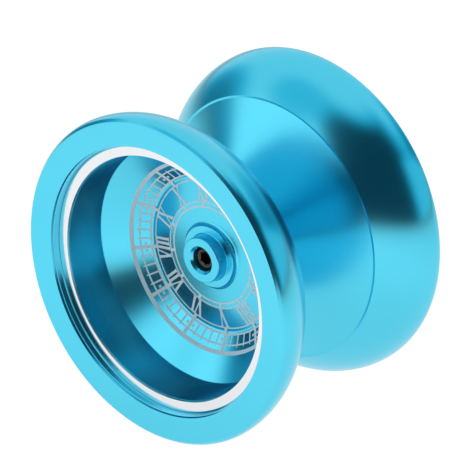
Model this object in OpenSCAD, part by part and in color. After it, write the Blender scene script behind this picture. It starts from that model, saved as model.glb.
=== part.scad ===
// Ball-bearing yo-yo in two machined halves. The spin axis is Y and +Z is up. The origin is on
// the axis, midway between the halves: side a faces -Y and side b faces +Y. All lengths are mm.

/* [Halves] */
// Outside diameter of the halves
body_d = 56; // [54:0.5:60]
// Width over the two rim faces
body_w = 39; // [38.5:0.5:43.5]
// Gap between the halves at the hub, where the string runs
string_gap = 4.5; // [4:0.1:4.6]
// Diameter of the step where the catch cone ends and the rim begins
step_d = 45.4; // [44.5:0.1:46.5]
// Distance between the two steps, across the string gap
step_w = 17.34; // [16:0.02:18]
// Width of the flat land on the step
step_land = 0.36; // [0.2:0.02:0.6]

/* [Rim] */
// How far the widest circle lies behind the rim face
rim_peak_back = 1.75; // [1.6:0.05:3]
// Inside diameter of the rim face
face_id = 45.9; // [45.6:0.1:46.6]
// How far the rim face dishes in towards its inside edge
face_dish = 0.3; // [0.1:0.05:0.8]
// Width of the chamfer round the rim face
face_chamfer = 0.42; // [0.3:0.02:0.6]
// Width of the flat land that the yo-yo rests on when it is laid on its side
rest_land = 0.3; // [0.2:0.05:0.5]

/* [Cup] */
// Diameter of the cup at its floor
cup_d = 41.1; // [40:0.1:41.4]
// Depth of the cup wall's foot behind the rim face
cup_depth = 9.55; // [9.2:0.05:10]
// Diameter of the crease where the sloped floor meets the dial floor
dial_d = 26.9; // [25:0.1:28]
// Depth of the dial floor's edge behind the rim face
dial_depth = 14.5; // [14.2:0.05:14.8]
// Diameter of the flat middle of the dial
dial_flat_d = 18.4; // [17:0.1:20]
// Rise of the dial floor from its edge to its flat middle
dial_rise = 0.45; // [0:0.05:0.8]

/* [Hub boss] */
// Diameter of the boss face
boss_d = 7.75; // [7:0.05:8.4]
// Depth of the boss face behind the rim face
boss_depth = 11.35; // [11:0.05:12]
// Diameter of the boss foot
foot_d = 10.7; // [10:0.1:11.4]
// Height of the boss foot above the dial floor
foot_rise = 0.85; // [0.75:0.05:1]

/* [Weight rings] */
// Inside diameter of the polished ring
ring_id = 41.9; // [41.7:0.05:42.1]
// Outside diameter of the polished ring
ring_od = 45.3; // [44.8:0.05:45.4]
// Depth of the ring's outer edge behind the rim face
ring_depth = 1.9; // [1.6:0.05:2.1]
// Fall of the ring's face towards its inside edge
ring_fall = 0.05; // [0:0.05:0.4]
// Height of the ring's buried skirt
ring_skirt = 2.9; // [2:0.1:3.4]

/* [Bearing] */
// Diameter of the balls
ball_d = 1.588; // [1.5:0.001:1.6]
// Number of balls
ball_count = 10; // [7:1:11]
// Thickness of the dust shields
shield_t = 0.16; // [0.12:0.01:0.2]

/* [Axle] */
// Diameter of the screw that joins the halves
axle_d = 4; // [3.8:0.1:4]
// Length of the screw
axle_l = 14.4; // [12:0.2:15]
// Size of the hex socket across its flats
socket_af = 2; // [1.5:0.5:2]
// Depth of the hex socket
socket_l = 2; // [1:0.1:3]

/* [Response pads] */
// Inside diameter of the silicone pads
pad_id = 14.5; // [14.2:0.1:15]
// Outside diameter of the silicone pads
pad_od = 19.1; // [18.4:0.1:19.4]
// Thickness of the silicone pads
pad_t = 1.1; // [0.8:0.1:1.2]
// How far the pads sit below the face of the gap
pad_recess = 0.15; // [0:0.05:0.3]

/* [Hidden] */
$fn = 96;
// The bearing is a standard size, which the string also loops round.
bearing_bore = 6.35;
bearing_od = 12.7;
bearing_w = 4.76;
balls = [for (i = [1:ball_count]) str("ball_", i)];

// Profiles are drawn as (radius, distance from the mid plane), and turned round the axis.
body_r = body_d / 2;
face_h = body_w / 2;
gap_h = string_gap / 2;
step_r = step_d / 2;
step_h = step_w / 2;
peak_h = face_h - rim_peak_back;
edge_h = face_h - face_chamfer;
edge_drop = 0.3;
edge_r = body_r - edge_drop;
land_r = edge_r - face_chamfer;
face_in_r = face_id / 2;
face_in_h = face_h - face_dish;

// The weight ring's seat: a step in the cup's mouth with a groove for the skirt.
slip = 0.02;
seat_r = ring_od / 2 + slip;
seat_h = face_h - ring_depth;
lip_h = seat_h - ring_fall - 0.5;
lip_in_r = ring_id / 2 - 0.08;
skirt_in_r = ring_od / 2 - 1.15;
groove_r = skirt_in_r - slip;
skirt_h = seat_h - ring_skirt;

cup_r = cup_d / 2;
cup_h = face_h - cup_depth;
dial_r = dial_d / 2;
dial_flat_r = dial_flat_d / 2;
dial_h = face_h - dial_depth;
boss_r = boss_d / 2;
boss_h = face_h - boss_depth;
foot_r = foot_d / 2;
foot_fillet = 0.6;
floor_h = dial_h + dial_rise;
foot_h = floor_h + foot_rise;

// The bearing's seat: a post with a shoulder for the inner ring, in a recess for the outer one.
fit = 0.01;
shoulder_h = bearing_w / 2;
post_r = bearing_bore / 2 - fit;
post_h = 0.25;
post_chamfer = 0.2;
shoulder_r = 4.05;
relief_h = shoulder_h + 0.37;
recess_r = bearing_od / 2 + 0.3;
axle_r = axle_d / 2;
bore_r = axle_r + slip;
countersink = 0.43;

pad_groove = 0.05;
pad_in_r = pad_id / 2;
pad_out_r = pad_od / 2;
pad_h = gap_h + pad_recess;
pad_floor_h = pad_h + pad_t;

// Bearing rings: the raceway is a torus a hair wider than the balls.
ball_r = ball_d / 2;
race_r = ball_r + 0.016;
inner_land_r = 4.15;
outer_land_r = 5.38;
pitch_r = (inner_land_r + outer_land_r) / 2 - 0.0025;
ring_chamfer = 0.2;
shield_seat_r = 5.72;
shield_h = shoulder_h - 0.46;
clip_h = shield_h + shield_t + 0.03;
clip_t = 0.17;
clip_out_r = 5.9;
clip_in_r = 5.3;
clip_opening = 22;

function arc(cx, cy, r, from, to, n) =
    [for (i = [0:n]) let (a = from + (to - from) * i / n) [cx + r * cos(a), cy + r * sin(a)]];

// The back of the rim: a parabola from the step, square to the axis at the widest circle.
function rim_back(n) =
    [for (i = [n:-1:0]) let (t = i / n) [body_r - (body_r - step_r) * t * t, peak_h - (peak_h - step_h) * t]];

// The front of the rim: a shorter parabola from the widest circle to the chamfer.
function rim_front(n) =
    [for (i = [1:n]) let (t = i / n) [body_r - edge_drop * t * t, peak_h + (edge_h - peak_h) * t]];

function post_points() = [
    [bore_r, post_h],
    [post_r - post_chamfer, post_h],
    [post_r, post_h + post_chamfer],
    [post_r, shoulder_h],
    [shoulder_r, shoulder_h],
    [shoulder_r, relief_h],
    [recess_r, relief_h],
    [recess_r, gap_h]
];

function catch_points() = [
    [pad_in_r - pad_groove, gap_h],
    [pad_in_r - pad_groove, pad_floor_h],
    [pad_out_r + pad_groove, pad_floor_h],
    [pad_out_r + pad_groove, gap_h],
    [step_r - step_land, step_h]
];

function mouth_points() = [
    [land_r, face_h],
    [land_r - rest_land, face_h],
    [face_in_r, face_in_h],
    [seat_r + 0.04, face_in_h - 0.35],
    [seat_r, seat_h + 0.1],
    [seat_r, skirt_h],
    [groove_r, skirt_h],
    [groove_r, lip_h],
    [lip_in_r, lip_h]
];

function floor_points() = [
    [cup_r, cup_h],
    [dial_r, dial_h],
    [dial_flat_r, floor_h],
    [foot_r + foot_fillet, floor_h]
];

function boss_points() = concat(
    arc(foot_r + foot_fillet, floor_h + foot_fillet, foot_fillet, 270, 180, 6),
    [
        [foot_r, foot_h - 0.1],
        [foot_r - 0.1, foot_h],
        [boss_r + 0.2, foot_h],
        [boss_r, boss_h - 0.1],
        [boss_r - 0.1, boss_h],
        [bore_r + countersink, boss_h],
        [bore_r, boss_h - countersink]
    ]
);

// Turns a profile round the Y axis, with its second coordinate running out to side a or b.
module turned(side) {
    rotate([side == "a" ? 90 : -90, 0, 0])
        rotate_extrude()
            children();
}

// One half: hub post, catch cone, rim, cup, dial floor and boss in a single turning.
module half(side) {
    color("deepskyblue")
        turned(side)
            polygon(concat(post_points(), catch_points(), rim_back(18), rim_front(5),
                mouth_points(), floor_points(), boss_points()));
}

// Polished weight ring: a thin flat flange over a skirt buried in the rim.
module rim_ring(side) {
    flange_r = ring_id / 2;
    bevel = 0.12;
    color("gainsboro")
        turned(side)
            polygon([
                [flange_r, lip_h + slip],
                [skirt_in_r, lip_h + slip],
                [skirt_in_r, skirt_h + slip],
                [ring_od / 2, skirt_h + slip],
                [ring_od / 2, seat_h - bevel],
                [ring_od / 2 - bevel, seat_h],
                [flange_r + bevel, seat_h - ring_fall],
                [flange_r, seat_h - ring_fall - bevel]
            ]);
}

// Set screw through both halves, with its hex socket towards side a.
module axle() {
    tip = 0.4;
    half_l = axle_l / 2;
    color("dimgray")
        difference() {
            turned("a")
                polygon([
                    [0, -half_l],
                    [axle_r - tip, -half_l],
                    [axle_r, tip - half_l],
                    [axle_r, half_l - tip],
                    [axle_r - tip, half_l],
                    [0, half_l]
                ]);
            translate([0, socket_l - half_l, 0])
                rotate([90, 30, 0])
                    cylinder(d = socket_af / cos(30), h = socket_l + 1, $fn = 6);
        }
}

// A bearing ring's blank: a rectangle with its outside corners bevelled.
module ring_section(r0, r1) {
    polygon([
        [r0 + ring_chamfer, -shoulder_h],
        [r1 - ring_chamfer, -shoulder_h],
        [r1, ring_chamfer - shoulder_h],
        [r1, shoulder_h - ring_chamfer],
        [r1 - ring_chamfer, shoulder_h],
        [r0 + ring_chamfer, shoulder_h],
        [r0, shoulder_h - ring_chamfer],
        [r0, ring_chamfer - shoulder_h]
    ]);
}

module raceway() {
    translate([pitch_r, 0])
        circle(r = race_r);
}

module bearing_inner_ring() {
    color("silver")
        turned("b")
            difference() {
                ring_section(bearing_bore / 2, inner_land_r);
                raceway();
            }
}

// The outer ring has a seat and a snap groove for the shield on each side.
module bearing_outer_ring() {
    seat_depth = shoulder_h - shield_h + slip;
    color("silver")
        turned("b")
            difference() {
                ring_section(outer_land_r, bearing_od / 2);
                raceway();
                for (s = [-1, 1]) {
                    translate([outer_land_r - 1, s * shoulder_h - (s > 0 ? seat_depth : 0)])
                        square([shield_seat_r - outer_land_r + 1, seat_depth]);
                    translate([outer_land_r - 1, s * (clip_h + clip_t / 2) - clip_t / 2 - slip])
                        square([clip_out_r + slip - outer_land_r + 1, clip_t + 2 * slip]);
                }
            }
}

// Crown cage: a ring beside the balls with fingers between them.
module bearing_cage() {
    cage_in_r = inner_land_r + 0.22;
    cage_out_r = outer_land_r - 0.22;
    color("burlywood")
        difference() {
            turned("b")
                polygon([
                    [cage_in_r, -0.45],
                    [cage_out_r, -0.45],
                    [cage_out_r, 1.25],
                    [cage_in_r, 1.25]
                ]);
            for (i = [1:ball_count])
                at_ball(i)
                    sphere(r = ball_r + 0.06);
        }
}

module at_ball(i) {
    rotate([0, 360 * (i - 1) / ball_count, 0])
        translate([0, 0, pitch_r])
            children();
}

module ball(i) {
    color("whitesmoke")
        at_ball(i)
            sphere(r = ball_r);
}

module bearing_shield(side) {
    color("silver")
        turned(side)
            translate([inner_land_r + 0.07, shield_h])
                square([shield_seat_r - inner_land_r - 0.09, shield_t]);
}

// Open snap ring that holds a shield in the outer ring's groove.
module shield_clip(side) {
    color("gray")
        rotate([side == "a" ? 90 : -90, 0, 0])
            rotate([0, 0, clip_opening / 2])
                rotate_extrude(angle = 360 - clip_opening)
                    translate([clip_in_r, clip_h])
                        square([clip_out_r - clip_in_r, clip_t]);
}

module response_pad(side) {
    edge = 0.15;
    color("white")
        turned(side)
            polygon([
                [pad_in_r, pad_floor_h],
                [pad_in_r, pad_h + edge],
                [pad_in_r + edge, pad_h],
                [pad_out_r - edge, pad_h],
                [pad_out_r, pad_h + edge],
                [pad_out_r, pad_floor_h]
            ]);
}

half("a");  // half_a
half("b");  // half_b
rim_ring("a");  // rim_ring_a
rim_ring("b");  // rim_ring_b
axle();
bearing_inner_ring();
bearing_outer_ring();
bearing_cage();
for (i = [1:ball_count])
    ball(i);
bearing_shield("a");  // bearing_shield_a
bearing_shield("b");  // bearing_shield_b
shield_clip("a");  // shield_clip_a
shield_clip("b");  // shield_clip_b
response_pad("a");  // response_pad_a
response_pad("b");  // response_pad_b
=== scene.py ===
import math

import bmesh
import bpy
from mathutils import Matrix, Vector


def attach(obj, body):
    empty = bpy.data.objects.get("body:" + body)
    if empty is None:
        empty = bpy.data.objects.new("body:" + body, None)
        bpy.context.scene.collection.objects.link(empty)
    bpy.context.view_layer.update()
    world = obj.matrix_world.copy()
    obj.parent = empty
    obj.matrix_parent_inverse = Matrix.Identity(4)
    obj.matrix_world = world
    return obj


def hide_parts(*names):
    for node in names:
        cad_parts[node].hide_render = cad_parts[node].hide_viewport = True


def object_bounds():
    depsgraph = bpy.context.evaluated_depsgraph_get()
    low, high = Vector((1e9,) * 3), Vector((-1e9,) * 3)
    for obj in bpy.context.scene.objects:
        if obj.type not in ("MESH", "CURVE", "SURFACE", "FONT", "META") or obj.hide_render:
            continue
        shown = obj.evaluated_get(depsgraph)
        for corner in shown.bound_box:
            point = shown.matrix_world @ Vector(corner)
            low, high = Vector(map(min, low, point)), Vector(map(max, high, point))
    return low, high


# Ball-bearing yo-yo in two turned, anodised halves. The spin axis is Y and side a faces -Y.
# Profiles are lists of (radius, distance from the mid plane, fillet radius), in millimetres.
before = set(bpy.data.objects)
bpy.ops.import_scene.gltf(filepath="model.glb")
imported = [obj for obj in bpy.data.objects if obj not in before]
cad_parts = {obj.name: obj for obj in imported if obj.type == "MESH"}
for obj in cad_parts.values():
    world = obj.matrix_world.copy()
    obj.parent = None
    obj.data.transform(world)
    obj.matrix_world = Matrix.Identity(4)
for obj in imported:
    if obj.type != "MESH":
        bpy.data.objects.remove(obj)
cad_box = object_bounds()

MM = 0.001
SIDES = (("a", -1, "half_a_hub"), ("b", 1, "half_b_shell"))
SMOOTH = None  # a profile point that lies on a curve, so its normal is its neighbours' mean
SEGMENTS, SMALL_SEGMENTS = 312, 192  # round the large and the small turnings
FILLET_STEP = math.radians(12)
FILLET_ROOM = 0.49  # how much of a profile's side each of its two corners may take


# ---------------------------------------------------------------------------- camera
AZIMUTH, ELEVATION = math.radians(42.0), math.radians(26.0)
CAMERA_DISTANCE, LENS = 0.75, 349.4
SHIFT_X, SHIFT_Y = 0.0055, 0.0152
BACK = Vector((
    math.sin(AZIMUTH) * math.cos(ELEVATION),
    -math.cos(AZIMUTH) * math.cos(ELEVATION),
    math.sin(ELEVATION),
))

camera_data = bpy.data.cameras.new("camera")
camera = bpy.data.objects.new("camera", camera_data)
bpy.context.scene.collection.objects.link(camera)
camera_data.sensor_width = 36.0
camera_data.lens = LENS
camera_data.shift_x = SHIFT_X
camera_data.shift_y = SHIFT_Y
camera_data.clip_start = 0.05
camera_data.clip_end = 60.0
camera.location = BACK * CAMERA_DISTANCE
camera.rotation_euler = (-BACK).to_track_quat("-Z", "Y").to_euler()
bpy.context.scene.camera = camera
bpy.context.scene.view_settings.view_transform = "Standard"


# ---------------------------------------------------------------------------- lathe
def unit(x, y):
    n = math.hypot(x, y)
    return x / n, y / n


def curve_normal(before, here, after):
    """The normal at a point on a curve, square to the mean of the directions beside it."""
    along = [0.0, 0.0]
    for p, q in ((before, here), (here, after)):
        if p is not None and q is not None:
            d = unit(q[0] - p[0], q[1] - p[1])
            along[0] += d[0]
            along[1] += d[1]
    x, y = unit(*along)
    return y, -x


def corner(before, here, after, fillet):
    """The arc that rounds a corner. Its radius shrinks where the sides are too short for it."""
    r, h = here
    d0 = unit(r - before[0], h - before[1])
    d1 = unit(after[0] - r, after[1] - h)
    turn = math.atan2(d0[0] * d1[1] - d0[1] * d1[0], d0[0] * d1[0] + d0[1] * d1[1])
    if abs(turn) < 1e-6:
        return [(r, h, d1[1], -d1[0])]
    cut = fillet * math.tan(abs(turn) / 2)
    room = FILLET_ROOM * min(math.dist(before, here), math.dist(here, after))
    if cut > room:
        fillet *= room / cut
        cut = room
    side = 1 if turn > 0 else -1
    centre_r = r - d0[0] * cut - side * d0[1] * fillet
    centre_h = h - d0[1] * cut + side * d0[0] * fillet
    steps = max(3, math.ceil(abs(turn) / FILLET_STEP))
    arc = []
    for k in range(steps + 1):
        w = turn * k / steps
        dr = d0[0] * math.cos(w) - d0[1] * math.sin(w)
        dh = d0[0] * math.sin(w) + d0[1] * math.cos(w)
        arc.append((centre_r + side * fillet * dh, centre_h - side * fillet * dr, dh, -dr))
    return arc


def rounded(points):
    """The profile with its corners rounded: a list of (r, h, normal r, normal h).

    The profile runs anticlockwise, so its outside is on the right of its travel.
    """
    places = [(r, h) for r, h, _ in points]
    out = []
    for before, here, after, (_, _, fillet) in zip([None] + places, places, places[1:] + [None], points):
        if before is None or after is None or fillet is SMOOTH:
            out.append((*here, *curve_normal(before, here, after)))
        else:
            out += corner(before, here, after, fillet)
    return out


def new_object(name, mesh):
    obj = bpy.data.objects.new(name, mesh)
    bpy.context.scene.collection.objects.link(obj)
    return obj


def face_outward(obj, side):
    """Lays the object's own Z, its spin axis, along the yo-yo's, outward on that side."""
    obj.rotation_euler = (math.radians(-90) * side, 0, 0)


def circle(count):
    """The cosine and sine of count equal steps round a turn."""
    return [(math.cos(2 * math.pi * j / count), math.sin(2 * math.pi * j / count)) for j in range(count)]


def ring_faces(rows, around, closed=False):
    """Quads between rows of points that each go once round the axis."""
    faces = []
    for i in range(rows if closed else rows - 1):
        low, high = i * around, (i + 1) % rows * around
        for j in range(around):
            k = (j + 1) % around
            faces.append((low + j, low + k, high + k, high + j))
    return faces


def lathe(name, points, side, segments=SEGMENTS, closed=False):
    """Turns a profile about the spin axis. That is the object's own Z, so that the shader's
    default tangent runs round it as the turning tool did.
    """
    ring = rounded(points)
    if closed:
        ring = ring[:-1]
    turn = circle(segments)
    verts = [(r * c * MM, r * s * MM, h * MM) for r, h, _, _ in ring for c, s in turn]
    normals = [(nr * c, nr * s, nh) for _, _, nr, nh in ring for c, s in turn]
    faces = ring_faces(len(ring), segments, closed)
    mesh = bpy.data.meshes.new(name)
    mesh.from_pydata(verts, [], faces)
    mesh.polygons.foreach_set("use_smooth", [True] * len(faces))
    mesh.normals_split_custom_set_from_vertices(normals)
    obj = new_object(name, mesh)
    face_outward(obj, side)
    return obj


# ---------------------------------------------------------------------------- the halves
BODY_R, FACE_H = (round(reach / MM, 1) for reach in cad_box[1][:2])
# hub post, bearing seat and pad recess
BORE_R, POST_R, POST_H, POST_CHAMFER = 2.02, 3.165, 0.25, 0.2
SHOULDER_R, BEARING_H = 4.05, 2.38
WELL_R, WELL_H, HUB_H = 6.65, 2.75, 2.25
RECESS_IN, RECESS_OUT, RECESS_H = 7.2, 9.6, 3.5
# catch cone's step and rounded rim
STEP_R, STEP_H, STEP_LAND = 22.34, 8.67, 0.36
PEAK_H, RIM_IN, RIM_FRONT, RIM_DROP = 17.75, 5.3, 1.33, 0.3
RIM_BACK_STEPS, RIM_FRONT_STEPS = 48, 12
# mouth, and the seat of the weight ring
CHAMFER_R, LAND = 27.28, 0.3
MOUTH_R, SEAT_R, SEAT_H = 22.82, 21.48, 14.68
LIP_R, LIP_H = 20.87, 17.05
# cup, dial and boss
CUP_R, CUP_H = 20.55, 9.95
CREASE_R, CREASE_H = 13.45, 5.0
DIAL_R, FLOOR_H = 9.2, 5.45
FOOT_R, FOOT_CURVE, FOOT_H, FOOT_CHAMFER = 5.95, 0.6, 6.3, 0.1
BOSS_BASE_R, BOSS_R, BOSS_H, BOSS_CHAMFER, COUNTERSINK = 4.075, 3.875, 8.15, 0.1, 0.43


def bearing_seat():
    return [
        (BORE_R, POST_H, SMOOTH), (POST_R - POST_CHAMFER, POST_H, 0.03),
        (POST_R, POST_H + POST_CHAMFER, 0.03), (POST_R, BEARING_H, 0.03),
        (SHOULDER_R, BEARING_H, 0.03), (SHOULDER_R, WELL_H, 0.03),
        (WELL_R, WELL_H, 0.05), (WELL_R, HUB_H, 0.08),
        (RECESS_IN, HUB_H, 0.08), (RECESS_IN, RECESS_H, 0.05),
        (RECESS_OUT, RECESS_H, 0.05), (RECESS_OUT, HUB_H, 0.1),
    ]


def rim():
    """From the step's land up the rim's back to the widest circle, and forward to the chamfer."""
    rise = PEAK_H - STEP_H
    back = [
        (BODY_R - RIM_IN * (1 - k / RIM_BACK_STEPS) ** 2, STEP_H + rise * k / RIM_BACK_STEPS, SMOOTH)
        for k in range(1, RIM_BACK_STEPS + 1)
    ]
    front = [
        (BODY_R - RIM_DROP * (k / RIM_FRONT_STEPS) ** 2, PEAK_H + RIM_FRONT * k / RIM_FRONT_STEPS, SMOOTH)
        for k in range(1, RIM_FRONT_STEPS)
    ]
    return back + front + [(BODY_R - RIM_DROP, PEAK_H + RIM_FRONT, 0.12)]


def mouth():
    """The dished face, the lip with its nick, and the seat of the weight ring."""
    return [
        (CHAMFER_R, FACE_H, 0.1), (CHAMFER_R - LAND, FACE_H, 0.1),
        (23.65, 19.25, 0.4), (23.12, 19.18, 0.08),
        (22.97, 18.84, 0.03), (23.08, 18.78, 0.02), (22.87, 18.7, 0.02),
        (MOUTH_R, 17.7, 0.04), (MOUTH_R, SEAT_H, 0.04),
        (SEAT_R, SEAT_H, 0.04), (SEAT_R, LIP_H, 0.04), (LIP_R, LIP_H, 0.06),
    ]


def cup():
    """The wall, the cone, the dial's floor and the curve up to the foot of the boss."""
    centre_h = FLOOR_H + FOOT_CURVE
    curve = [
        (FOOT_R - FOOT_CURVE * math.sin(a), centre_h - FOOT_CURVE * math.cos(a), SMOOTH)
        for a in (math.radians(10 * k) for k in range(1, 10))
    ]
    wall = [(CUP_R, CUP_H, 0.15), (CREASE_R, CREASE_H, 0.66), (DIAL_R, FLOOR_H, 0.1)]
    return wall + [(FOOT_R, FLOOR_H, SMOOTH)] + curve


def boss():
    foot_r = FOOT_R - FOOT_CURVE
    return [
        (foot_r, FOOT_H - FOOT_CHAMFER, 0.03), (foot_r - FOOT_CHAMFER, FOOT_H, 0.04),
        (BOSS_BASE_R, FOOT_H, 0.12), (BOSS_R, BOSS_H - BOSS_CHAMFER, 0.05),
        (BOSS_R - BOSS_CHAMFER, BOSS_H, 0.05), (BORE_R + COUNTERSINK, BOSS_H, 0.04),
        (BORE_R, BOSS_H - COUNTERSINK, 0.04), (BORE_R, POST_H, SMOOTH),
    ]


def half_profile():
    step = [(STEP_R, STEP_H, 0.06), (STEP_R + STEP_LAND, STEP_H, 0.05)]
    return bearing_seat() + step + rim() + mouth() + cup() + boss()


halves = {}
for letter, side, body in SIDES:
    half = lathe(f"half_{letter}_turned", half_profile(), side)
    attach(half, body)
    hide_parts(f"half_{letter}")
    halves[letter] = half


# ---------------------------------------------------------------------------- weight rings
RING_FIT, RING_FACE_H, RING_IN = 0.02, 17.55, 20.95


def ring_profile():
    inner, outer = SEAT_R + RING_FIT, MOUTH_R - RING_FIT
    foot, skirt = SEAT_H + RING_FIT, LIP_H + RING_FIT
    return [
        (22.0, foot, SMOOTH), (outer, foot, 0.08), (outer, 17.47, 0.03), (22.55, 17.6, 0.04),
        (RING_IN, RING_FACE_H, 0.12), (RING_IN, skirt, 0.08), (inner, skirt, 0.04),
        (inner, foot, 0.08), (22.0, foot, SMOOTH),
    ]


rings = {}
for letter, side, body in SIDES:
    ring = lathe(f"weight_ring_{letter}", ring_profile(), side, closed=True)
    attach(ring, body)
    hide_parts(f"rim_ring_{letter}")
    rings[letter] = ring


# ---------------------------------------------------------------------------- etched dial
XII_AT = 18.0  # degrees round from straight up
NUMERALS = ("XII", "I", "II", "III", "IIII", "V", "VI", "VII", "VIII", "IX", "X", "XI")
NUMERAL_R, NUMERAL_HALF = 11.0, 1.5
# letter: (advance, strokes as (bottom u, top u, width)), with u from the letter's own middle
LETTERS = {
    "I": (0.80, ((0.0, 0.0, 0.46),)),
    "V": (1.75, ((0.12, -0.55, 0.46), (0.12, 0.62, 0.24))),
    "X": (1.80, ((0.58, -0.58, 0.46), (-0.58, 0.58, 0.24))),
}
SERIF_HALF, SERIF_EXTRA = 0.1, 0.26
# the dial's circles, from the outermost in
CIRCLES = ((16.1, 16.68), (15.15, 15.38), (13.6, 13.9), (12.62, 12.88), (9.08, 9.32), (8.2, 8.5))
CIRCLE_POINTS = 360
# radial marks: inner radius, outer radius, width
MINUTE_BAR, MINUTE_STUB = (13.9, 15.15, 0.3), (15.35, 15.62, 0.2)
HOUR_BAR, HOUR_STUB, HOUR_DOT = (12.9, 16.1, 0.6), (8.5, 9.1, 0.5), (14.38, 14.72, 0.42)
DOT_ACROSS = 0.62  # from the hour bar's middle to each dot's
MARK_PROUD, MARK_SUNK = 0.012, 0.03
BAR_LIFT, SERIF_LIFT = 0.002, 0.004  # marks that cross lie at different heights


def dial_height(r):
    """Height of the cup's floor: the dial inside the crease, the cone outside it."""
    if r < CREASE_R:
        return FLOOR_H - (FLOOR_H - CREASE_H) * max(0.0, r - DIAL_R) / (CREASE_R - DIAL_R)
    return CREASE_H + (CUP_H - CREASE_H) * (r - CREASE_R) / (CUP_R - CREASE_R)


class Marks:
    """Thin closed pads laid on the dial, gathered into one mesh."""

    def __init__(self):
        self.verts, self.faces = [], []

    def pad(self, rows, ring=False, lift=0.0):
        """rows: equal lists of (x, y); ring joins each row's end to its start."""
        base, n = len(self.verts), len(rows[0])
        for shift in (MARK_PROUD + lift, -MARK_SUNK):
            for row in rows:
                for x, y in row:
                    self.verts.append((x, y, dial_height(math.hypot(x, y)) + shift))
        below = len(rows) * n
        quads = [
            (i * n + j, i * n + (j + 1) % n, (i + 1) * n + (j + 1) % n, (i + 1) * n + j)
            for i in range(len(rows) - 1)
            for j in range(n if ring else n - 1)
        ]
        edge = {}
        for q in quads:
            for a, b in zip(q, q[1:] + q[:1]):
                if (b, a) in edge:
                    del edge[(b, a)]
                else:
                    edge[(a, b)] = True
        for q in quads:
            self.faces.append(tuple(base + v for v in q))
            self.faces.append(tuple(base + below + v for v in reversed(q)))
        for a, b in edge:
            self.faces.append((base + a, base + below + a, base + below + b, base + b))

    def band(self, inner, outer):
        turn = circle(CIRCLE_POINTS)
        self.pad([[(r * c, r * s) for c, s in turn] for r in (inner, outer)], ring=True)

    def bar(self, angle, bottom, top, width, lift=BAR_LIFT):
        """A straight mark at a dial angle; bottom and top are (across, radius) in millimetres."""
        c, s = math.cos(math.radians(angle)), math.sin(math.radians(angle))
        rows = []
        for k in range(5):
            u = bottom[0] + (top[0] - bottom[0]) * k / 4
            v = bottom[1] + (top[1] - bottom[1]) * k / 4
            rows.append([(v * s + (u + w) * c, v * c - (u + w) * s) for w in (-width / 2, width / 2)])
        self.pad(rows, lift=lift)

    def tick(self, angle, inner, outer, width, across=0):
        self.bar(angle, (across, inner), (across, outer), width)

    def numeral(self, angle, text):
        low, high = NUMERAL_R - NUMERAL_HALF, NUMERAL_R + NUMERAL_HALF
        start = -sum(LETTERS[c][0] for c in text) / 2
        for c in text:
            advance, strokes = LETTERS[c]
            middle = start + advance / 2
            start += advance
            for bottom, top, width in strokes:
                self.bar(angle, (middle + bottom, low), (middle + top, high), width)
                for u, v in ((middle + top, high), (middle + bottom, low)):
                    serif = (u, v - SERIF_HALF), (u, v + SERIF_HALF)
                    self.bar(angle, *serif, width + SERIF_EXTRA, SERIF_LIFT)

    def build(self, name, side):
        mesh = bpy.data.meshes.new(name)
        mesh.from_pydata([tuple(c * MM for c in v) for v in self.verts], [], self.faces)
        obj = new_object(name, mesh)
        face_outward(obj, side)
        # side b's own Y points down once turned, so its dial turns half round to read upright
        if side > 0:
            mesh.transform(Matrix.Rotation(math.pi, 4, "Z"))
        return obj


def dial(name, side):
    marks = Marks()
    for inner, outer in CIRCLES:
        marks.band(inner, outer)
    for minute in range(60):
        angle = XII_AT + 6 * minute
        if minute % 5:
            marks.tick(angle, *MINUTE_BAR)
            marks.tick(angle, *MINUTE_STUB)
        else:
            marks.tick(angle, *HOUR_BAR)
            marks.tick(angle, *HOUR_STUB)
            for across in (-DOT_ACROSS, DOT_ACROSS):
                marks.tick(angle, *HOUR_DOT, across)
    for hour, text in enumerate(NUMERALS):
        marks.numeral(XII_AT + 30 * hour, text)
    return marks.build(name, side)


dials = {}
for letter, side, body in SIDES:
    marks = dial(f"dial_marks_{letter}", side)
    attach(marks, body)
    dials[letter] = marks


# ---------------------------------------------------------------------------- axle
AXLE_HALF, AXLE_R = 7.2, 2.0
THREAD_PITCH, THREAD_DEPTH = 0.7, 0.22
THREAD_FLAT = 0.1875  # the share of half a pitch that is flat, at the root and at the crest
THREAD_END, THREAD_FADE = 0.36, 0.5  # plain length at each end, then the length it rises over
SOCKET_FLATS, SOCKET_DEPTH, DRILL_DEPTH = 2.0, 2.0, 0.35
END_R, END_CHAMFER = 1.55, 0.42
AROUND, ROWS_PER_PITCH = 96, 14
SHARP_EDGE = math.radians(32)


def hex_radius(angle, flats):
    return flats / 2 / math.cos((angle + math.pi / 6) % (math.pi / 3) - math.pi / 6)


def even(r, h):
    return [(r, h)] * AROUND


def socket_rows():
    """The hex socket, from the bottom of its drill point out to the screw's end face."""
    hexed = [hex_radius(2 * math.pi * j / AROUND, SOCKET_FLATS) for j in range(AROUND)]
    floor = AXLE_HALF - SOCKET_DEPTH
    walls = [
        [(scale * x, h) for x in hexed]
        for scale, h in ((0.97, floor), (1, floor + 0.03), (1, AXLE_HALF - 0.18))
    ]
    mouth = [even(1.26, AXLE_HALF - 0.02), even(1.3, AXLE_HALF), even(END_R, AXLE_HALF)]
    return [even(0.0, floor - DRILL_DEPTH)] + walls + mouth


def thread_row(h):
    """One row of the rolled thread, which climbs a pitch in each turn."""
    fade = max(0.0, min(1.0, (AXLE_HALF - THREAD_END - abs(h)) / THREAD_FADE))
    row = []
    for j in range(AROUND):
        t = (h / THREAD_PITCH - j / AROUND) % 1.0
        flank = min(1.0, max(0.0, (abs(2 * t - 1) - THREAD_FLAT) / (1 - 2 * THREAD_FLAT)))
        row.append((AXLE_R - THREAD_DEPTH * (1 - flank) * fade, h))
    return row


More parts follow.
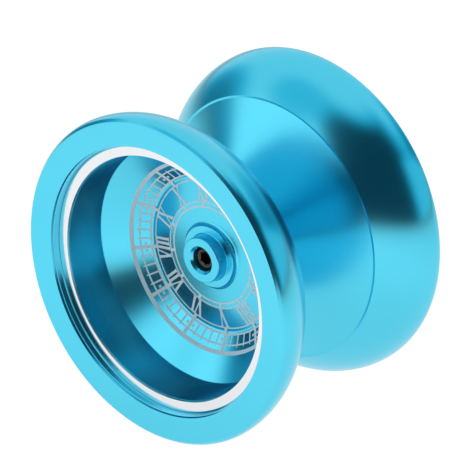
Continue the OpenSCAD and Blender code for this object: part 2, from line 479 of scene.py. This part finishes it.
def threaded_axle():
    """A set screw: chamfered ends, a rolled M4 thread and a hex socket at side a's end."""
    top = AXLE_HALF - END_CHAMFER
    count = round(2 * top / THREAD_PITCH * ROWS_PER_PITCH)
    thread = [thread_row(top - 2 * top * k / count) for k in range(count + 1)]
    end = [even(END_R, -AXLE_HALF), even(0.8, -AXLE_HALF), even(0.0, -AXLE_HALF)]
    rows = (socket_rows() + thread + end)[::-1]
    turn = circle(AROUND)
    verts = [(r * c * MM, r * s * MM, h * MM) for row in rows for (r, h), (c, s) in zip(row, turn)]
    mesh = bpy.data.meshes.new("threaded_axle")
    mesh.from_pydata(verts, [], ring_faces(len(rows), AROUND))
    made = bmesh.new()
    made.from_mesh(mesh)
    bmesh.ops.remove_doubles(made, verts=made.verts, dist=1e-7)
    bmesh.ops.recalc_face_normals(made, faces=made.faces)
    made.to_mesh(mesh)
    made.free()
    mesh.polygons.foreach_set("use_smooth", [True] * len(mesh.polygons))
    mesh.set_sharp_from_angle(angle=SHARP_EDGE)
    obj = new_object("threaded_axle", mesh)
    face_outward(obj, -1)
    return obj


axle = threaded_axle()
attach(axle, "half_a_hub")
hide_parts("axle")


# ---------------------------------------------------------------------------- bearing
PITCH_R, RACE_R = 4.7625, 0.81
BEARING_IN, BEARING_OUT = 3.175, 6.35
INNER_LAND, OUTER_LAND = 4.15, 5.38
CLIP_R, CLIP_GROOVE_R = 5.72, 5.92
PAD_IN, PAD_OUT, PAD_FACE_H, PAD_GROOVE = 7.25, 9.55, 2.4, 0.12


def race(land_r, towards):
    """Points of the ball groove in a ring's land, from -h to +h; towards is -1 inner, 1 outer."""
    reach = math.acos(abs(land_r - PITCH_R) / RACE_R)
    return [
        (PITCH_R + towards * RACE_R * math.cos(a), RACE_R * math.sin(a), SMOOTH)
        for a in (reach * (k / 8 - 1) for k in range(1, 16))
    ]


def inner_ring_profile():
    return [
        (BEARING_IN, 0, SMOOTH), (BEARING_IN, -BEARING_H, 0.2),
        (INNER_LAND, -BEARING_H, 0.2), (INNER_LAND, -0.53, 0.03),
        *race(INNER_LAND, -1),
        (INNER_LAND, 0.53, 0.03), (INNER_LAND, BEARING_H, 0.2),
        (BEARING_IN, BEARING_H, 0.2), (BEARING_IN, 0, SMOOTH),
    ]


def shield_seat(s):
    """The outer ring's bore on one side: land, shield's shelf and clip's groove."""
    return [
        (OUTER_LAND, s * 0.52, 0.02), (OUTER_LAND, s * 1.9, 0.03),
        (CLIP_R, s * 1.9, 0.03), (CLIP_R, s * 2.09, 0.02),
        (CLIP_GROOVE_R, s * 2.09, 0.02), (CLIP_GROOVE_R, s * 2.3, 0.02),
        (CLIP_R, s * 2.3, 0.02), (CLIP_R, s * BEARING_H, 0.03),
    ]


def outer_ring_profile():
    return [
        (BEARING_OUT, 0, SMOOTH), (BEARING_OUT, BEARING_H, 0.2),
        *shield_seat(1)[::-1], *race(OUTER_LAND, 1)[::-1], *shield_seat(-1),
        (BEARING_OUT, -BEARING_H, 0.2), (BEARING_OUT, 0, SMOOTH),
    ]


def shield_profile():
    """A pressed steel washer with a shallow drawn rib."""
    inside, outside, rib = 1.92, 2.08, 2.03
    return [
        (4.6, inside, SMOOTH), (5.7, inside, 0.03), (5.7, outside, 0.03),
        (5.2, outside, 0.1), (5.08, rib, 0.1), (4.72, rib, 0.1), (4.6, outside, 0.1),
        (4.22, outside, 0.04), (4.22, inside, 0.03), (4.6, inside, SMOOTH),
    ]


def pad_profile():
    """A silicone ring with three shallow grooves moulded in its face."""
    grooves = [
        (7.9 + 0.5 * k + across, PAD_FACE_H + depth, 0.05)
        for k in range(3)
        for across, depth in ((-0.11, 0), (0, PAD_GROOVE), (0.11, 0))
    ]
    return [
        (8.4, RECESS_H, SMOOTH), (PAD_IN, RECESS_H, 0.05), (PAD_IN, PAD_FACE_H, 0.15),
        *grooves,
        (PAD_OUT, PAD_FACE_H, 0.15), (PAD_OUT, RECESS_H, 0.05), (8.4, RECESS_H, SMOOTH),
    ]


small = {}
for name, points, side, body, node, slot in (
    ("inner_ring", inner_ring_profile(), 1, "half_a_hub", "bearing_inner_ring", "bearing_steel"),
    ("outer_ring", outer_ring_profile(), 1, "bearing_outer", "bearing_outer_ring", "bearing_steel"),
    ("shield_a", shield_profile(), -1, "bearing_outer", "bearing_shield_a", "shield_steel"),
    ("shield_b", shield_profile(), 1, "bearing_outer", "bearing_shield_b", "shield_steel"),
    ("pad_a", pad_profile(), -1, "half_a_hub", "response_pad_a", "silicone"),
    ("pad_b", pad_profile(), 1, "half_b_shell", "response_pad_b", "silicone"),
):
    piece = lathe(name, points, side, segments=SMALL_SEGMENTS, closed=True)
    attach(piece, body)
    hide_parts(node)
    small[name] = piece


# ---------------------------------------------------------------------------- materials
# painted shade: the cup's wall is darkened to stand in for the shade deep in the cup; it ends between
# these radii and starts between these heights, in millimetres
WALL_OUT, WALL_FOOT = (21.0, 21.4), (9.8, 10.2)
CUP_SHADE_TINT = (0.4, 0.68, 0.72, 1)


def nodes_of(name):
    mat = bpy.data.materials.new(name)
    mat.use_nodes = True
    tree = mat.node_tree
    shader = tree.nodes["Principled BSDF"]
    return mat, tree, shader


def add(tree, kind, **values):
    node = tree.nodes.new(kind)
    for key, value in values.items():
        setattr(node, key, value)
    return node


def mixed(tree, factor, low, high):
    """A colour that goes from low to high as factor goes from 0 to 1."""
    mix = add(tree, "ShaderNodeMix", data_type="RGBA")
    mix.inputs["A"].default_value = (*low, 1)
    mix.inputs["B"].default_value = (*high, 1)
    tree.links.new(factor, mix.inputs["Factor"])
    return mix.outputs["Result"]


def ranged(tree, value, low, high, start=0.0, end=1.0, **kind):
    """Goes from low to high as value goes from start to end, and stays within them."""
    node = add(tree, "ShaderNodeMapRange", **kind)
    for socket, number in (("From Min", start), ("From Max", end), ("To Min", low), ("To Max", high)):
        node.inputs[socket].default_value = number
    tree.links.new(value, node.inputs["Value"])
    return node.outputs["Result"]


def combined(tree, operation, one, other):
    node = add(tree, "ShaderNodeMath", operation=operation)
    tree.links.new(one, node.inputs[0])
    tree.links.new(other, node.inputs[1])
    return node.outputs[0]


def object_place(tree):
    return add(tree, "ShaderNodeTexCoord").outputs["Object"]


def turned_place(tree):
    """The object's own place, and the same as (radius, height), which the tool's marks follow."""
    place = object_place(tree)
    split = add(tree, "ShaderNodeSeparateXYZ")
    tree.links.new(place, split.inputs[0])
    flat = add(tree, "ShaderNodeCombineXYZ")
    tree.links.new(split.outputs["X"], flat.inputs["X"])
    tree.links.new(split.outputs["Y"], flat.inputs["Y"])
    length = add(tree, "ShaderNodeVectorMath", operation="LENGTH")
    tree.links.new(flat.outputs[0], length.inputs[0])
    turned = add(tree, "ShaderNodeCombineXYZ")
    tree.links.new(length.outputs["Value"], turned.inputs["X"])
    tree.links.new(split.outputs["Z"], turned.inputs["Y"])
    return place, turned.outputs[0]


def noise(tree, vector, scale, detail=2.0, rough=0.5):
    node = add(tree, "ShaderNodeTexNoise")
    node.inputs["Scale"].default_value = scale
    node.inputs["Detail"].default_value = detail
    node.inputs["Roughness"].default_value = rough
    tree.links.new(vector, node.inputs["Vector"])
    return node.outputs["Fac"]


def bumped(tree, shader, height, strength, distance):
    node = add(tree, "ShaderNodeBump")
    node.inputs["Strength"].default_value = strength
    node.inputs["Distance"].default_value = distance
    tree.links.new(height, node.inputs["Height"])
    tree.links.new(node.outputs[0], shader.inputs["Normal"])


def painted_cup_shade(tree, turned, colour):
    """Painted shade: the dye darkened on the wall of the cup, where the deep cup lies in shade."""
    split = add(tree, "ShaderNodeSeparateXYZ")
    tree.links.new(turned, split.inputs[0])
    smooth = {"interpolation_type": "SMOOTHSTEP"}
    inside = ranged(tree, split.outputs["X"], 0, 1, WALL_OUT[1] * MM, WALL_OUT[0] * MM, **smooth)
    above = ranged(tree, split.outputs["Y"], 0, 1, WALL_FOOT[0] * MM, WALL_FOOT[1] * MM, **smooth)
    cup_shade_mix = add(tree, "ShaderNodeMix", data_type="RGBA", blend_type="MULTIPLY")
    cup_shade_mix.inputs["B"].default_value = CUP_SHADE_TINT
    tree.links.new(combined(tree, "MULTIPLY", inside, above), cup_shade_mix.inputs["Factor"])
    tree.links.new(colour, cup_shade_mix.inputs["A"])
    return cup_shade_mix.outputs["Result"]


def anodised():
    mat, tree, shader = nodes_of("anodised_cyan")
    place, turned = turned_place(tree)
    lines = noise(tree, turned, 9000, 3, 0.6)
    cloud = noise(tree, place, 60, 3)
    dye = mixed(tree, cloud, (0.094, 0.61, 0.81), (0.108, 0.64, 0.84))
    # painted shade darkens the colour on the cup's wall
    tree.links.new(painted_cup_shade(tree, turned, dye), shader.inputs["Base Color"])
    tree.links.new(ranged(tree, lines, 0.18, 0.25), shader.inputs["Roughness"])
    bumped(tree, shader, lines, 0.12, 0.00002)
    shader.inputs["Metallic"].default_value = 1.0
    shader.inputs["Anisotropic"].default_value = 0.6
    shader.inputs["Anisotropic Rotation"].default_value = 0.25
    return mat


def metal(name, low, high, rough, line_scale, bump, cloud_scale=400):
    """A plain metal with turning or grinding lines round its own axis."""
    mat, tree, shader = nodes_of(name)
    place, turned = turned_place(tree)
    lines = noise(tree, turned, line_scale)
    cloud = noise(tree, place, cloud_scale)
    tree.links.new(mixed(tree, cloud, low, high), shader.inputs["Base Color"])
    tree.links.new(ranged(tree, lines, *rough), shader.inputs["Roughness"])
    bumped(tree, shader, lines, bump, 0.00001)
    shader.inputs["Metallic"].default_value = 1.0
    return mat


def etched():
    """Dye burnt off by the laser: bare, finely frosted aluminium."""
    mat, tree, shader = nodes_of("etched_marks")
    place = object_place(tree)
    grain = noise(tree, place, 12000, 2, 0.7)
    cloud = noise(tree, place, 500)
    colour = mixed(tree, cloud, (0.64, 0.76, 0.82), (0.72, 0.82, 0.87))
    tree.links.new(colour, shader.inputs["Base Color"])
    tree.links.new(ranged(tree, grain, 0.55, 0.75), shader.inputs["Roughness"])
    bumped(tree, shader, grain, 0.25, 0.00001)
    return mat


def soft_plastic(name, low, high, rough, scale, subsurface):
    mat, tree, shader = nodes_of(name)
    grain = noise(tree, object_place(tree), scale, 3, 0.6)
    tree.links.new(mixed(tree, grain, low, high), shader.inputs["Base Color"])
    tree.links.new(ranged(tree, grain, *rough), shader.inputs["Roughness"])
    bumped(tree, shader, grain, 0.15, 0.00002)
    shader.inputs["Subsurface Weight"].default_value = subsurface
    shader.inputs["Subsurface Radius"].default_value = (0.0006, 0.0006, 0.0006)
    return mat


anodised_mat = anodised()
ring_mat = metal("polished_ring", (0.76, 0.78, 0.80), (0.80, 0.82, 0.84), (0.08, 0.16), 7000, 0.08, 90)
etched_mat = etched()
axle_mat = metal("black_oxide", (0.055, 0.048, 0.045), (0.10, 0.085, 0.075), (0.28, 0.42), 4000, 0.2)
bearing_mat = metal("ground_steel", (0.56, 0.57, 0.58), (0.64, 0.65, 0.66), (0.16, 0.26), 9000, 0.15)
ball_mat = metal("polished_ball", (0.68, 0.69, 0.70), (0.74, 0.75, 0.76), (0.05, 0.09), 6000, 0.03)
shield_mat = metal("pressed_shield", (0.50, 0.51, 0.52), (0.58, 0.59, 0.60), (0.24, 0.36), 7000, 0.12)
clip_mat = metal("spring_clip", (0.34, 0.34, 0.35), (0.42, 0.42, 0.43), (0.24, 0.34), 7000, 0.1)
cage_mat = soft_plastic("cage_nylon", (0.62, 0.50, 0.30), (0.72, 0.60, 0.38), (0.42, 0.55), 2500, 0.1)
silicone_mat = soft_plastic("silicone_pad", (0.80, 0.82, 0.84), (0.86, 0.87, 0.88), (0.45, 0.6), 1800, 0.2)

for letter in "ab":
    halves[letter].data.materials.append(anodised_mat)
    rings[letter].data.materials.append(ring_mat)
    dials[letter].data.materials.append(etched_mat)
    small[f"shield_{letter}"].data.materials.append(shield_mat)
    small[f"pad_{letter}"].data.materials.append(silicone_mat)
for name in ("inner_ring", "outer_ring"):
    small[name].data.materials.append(bearing_mat)
axle.data.materials.append(axle_mat)
# the CAD nodes that no piece above replaces: the balls, the clips and the cage
for node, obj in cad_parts.items():
    mat = {"ball": ball_mat, "shield": clip_mat, "bearing": cage_mat}.get(node.split("_")[0])
    if mat and not obj.hide_render:
        obj.data.materials.clear()
        obj.data.materials.append(mat)


# ---------------------------------------------------------------------------- studio
OPEN_ROOM, BRIGHTEST, STRENGTH = 0.88, 1.25, 1.05  # levels of grey, where 1 is white
# name, level, and caps as (azimuth, elevation, full inside this angle, nothing outside this one)
PATCHES = (
    ("right_gloom", 0.28, ((152, 2, 10, 48),)),
    ("camera_side", 0.05, ((53, 23, 38, 78), (0, -90, 148, 180))),
    ("left_gloom", 0.22, ((-80, 2, 6, 33),)),
    ("right_panel", 0.71, ((140, 12, 26, 49), (86, -51, 86, 93))),
    ("front_left_panel", 1.22, ((-25, 19, 25, 36),)),
    ("left_haze", 0.66, ((-38, 53, 9, 26),)),
)
# the darker the cloth, the bluer it looks: level, colour
SHADES = (
    (0.04, (0.015, 0.040, 0.058)), (0.25, (0.04, 0.25, 0.31)), (0.40, (0.06, 0.40, 0.53)),
    (0.66, (0.20, 0.66, 0.77)), (0.96, (0.96, 0.96, 0.96)), (BRIGHTEST, (BRIGHTEST,) * 3),
)


def direction(azimuth, elevation):
    a, e = math.radians(azimuth), math.radians(elevation)
    return (math.sin(a) * math.cos(e), -math.cos(a) * math.cos(e), math.sin(e))


def cap(tree, place, azimuth, elevation, inner, outer):
    """1 within the inner angle of a direction, 0 beyond the outer one, and smooth between."""
    dot = add(tree, "ShaderNodeVectorMath", operation="DOT_PRODUCT")
    dot.inputs[1].default_value = direction(azimuth, elevation)
    tree.links.new(place, dot.inputs[0])
    start, end = math.cos(math.radians(outer)), math.cos(math.radians(inner))
    return ranged(tree, dot.outputs["Value"], 0, 1, start, end, interpolation_type="SMOOTHSTEP")


def room_level(tree):
    """How bright the room is in each direction. Each patch is where its caps overlap, laid over
    what is behind it.
    """
    place = add(tree, "ShaderNodeTexCoord").outputs["Generated"]
    level = None
    for name, bright, caps in PATCHES:
        share = None
        for values in caps:
            one = cap(tree, place, *values)
            share = one if share is None else combined(tree, "MULTIPLY", share, one)
        over = add(tree, "ShaderNodeMix", data_type="FLOAT", label=name)
        tree.links.new(share, over.inputs["Factor"])
        if level is None:
            over.inputs["A"].default_value = OPEN_ROOM / BRIGHTEST
        else:
            tree.links.new(level, over.inputs["A"])
        over.inputs["B"].default_value = bright / BRIGHTEST
        level = over.outputs["Result"]
    return level


def shaded(tree, level):
    tint = add(tree, "ShaderNodeValToRGB")
    ramp = tint.color_ramp
    while len(ramp.elements) < len(SHADES):
        ramp.elements.new(0.5)
    for stop, (at, shade) in zip(ramp.elements, SHADES):
        stop.position = at / BRIGHTEST
        stop.color = (*(part / BRIGHTEST for part in shade), 1)
    tree.links.new(level, tint.inputs["Fac"])
    return tint.outputs["Color"]


def studio():
    """A room of soft panels and dark cloth, which lights the object and shows in its gloss. The
    backdrop itself is plain white.
    """
    world = bpy.data.worlds.new("studio")
    bpy.context.scene.world = world
    world.use_nodes = True
    tree = world.node_tree
    room = tree.nodes["Background"]
    tree.links.new(shaded(tree, room_level(tree)), room.inputs["Color"])
    room.inputs["Strength"].default_value = STRENGTH * BRIGHTEST
    plain = add(tree, "ShaderNodeBackground", label="plain backdrop")
    plain.inputs["Color"].default_value = (1, 1, 1, 1)
    seen = add(tree, "ShaderNodeMixShader")
    tree.links.new(add(tree, "ShaderNodeLightPath").outputs["Is Camera Ray"], seen.inputs[0])
    tree.links.new(room.outputs[0], seen.inputs[1])
    tree.links.new(plain.outputs[0], seen.inputs[2])
    tree.links.new(seen.outputs[0], tree.nodes["World Output"].inputs["Surface"])
    world.cycles.sampling_method = "MANUAL"
    world.cycles.sample_map_resolution = 512


studio()


# ---------------------------------------------------------------------------- floor
FLOOR_HALF = 12.0
# the painted pool of light and the painted contact shadow in the floor's glow
POOL_AT = (0.02, -0.10, 0)  # the middle of the pool of light
POOL_REACH, POOL_GLOW = (0.02, 0.70), (1.11, 0.38)
CONTACT_REACH, CONTACT_GLOW = (0.01, 0.08), (0.91, 1.04)


def floor_glow(tree):
    """A painted pool of light that falls off with distance, and a painted contact shadow that makes it
    a little dimmer under the object. The floor that the camera sees is never darker than plain white.
    """
    place = object_place(tree)
    spot = add(tree, "ShaderNodeVectorMath", operation="SUBTRACT")
    spot.inputs[1].default_value = POOL_AT
    tree.links.new(place, spot.inputs[0])
    away = add(tree, "ShaderNodeVectorMath", operation="LENGTH")
    tree.links.new(spot.outputs["Vector"], away.inputs[0])
    near = add(tree, "ShaderNodeVectorMath", operation="LENGTH")
    tree.links.new(place, near.inputs[0])
    pool = ranged(tree, away.outputs["Value"], *POOL_GLOW, *POOL_REACH)
    painted_contact_shadow = ranged(
        tree, near.outputs["Value"], *CONTACT_GLOW, *CONTACT_REACH, interpolation_type="SMOOTHSTEP"
    )
    lit = combined(tree, "MULTIPLY", pool, painted_contact_shadow)
    return combined(tree, "MAXIMUM", lit, add(tree, "ShaderNodeLightPath").outputs["Is Camera Ray"])


def light_table():
    mat, tree, shader = nodes_of("light_table")
    shader.inputs["Base Color"].default_value = (0.05, 0.05, 0.05, 1)
    shader.inputs["Roughness"].default_value = 0.9
    shader.inputs["Specular IOR Level"].default_value = 0.0
    shader.inputs["Emission Color"].default_value = (1, 1, 1, 1)
    tree.links.new(floor_glow(tree), shader.inputs["Emission Strength"])
    return mat


floor_mesh = bpy.data.meshes.new("floor")
grid = bmesh.new()
bmesh.ops.create_grid(grid, x_segments=8, y_segments=8, size=FLOOR_HALF)
grid.to_mesh(floor_mesh)
grid.free()
floor = new_object("floor", floor_mesh)
floor.location = (0, 0, -BODY_R * MM)
floor_mesh.materials.append(light_table())
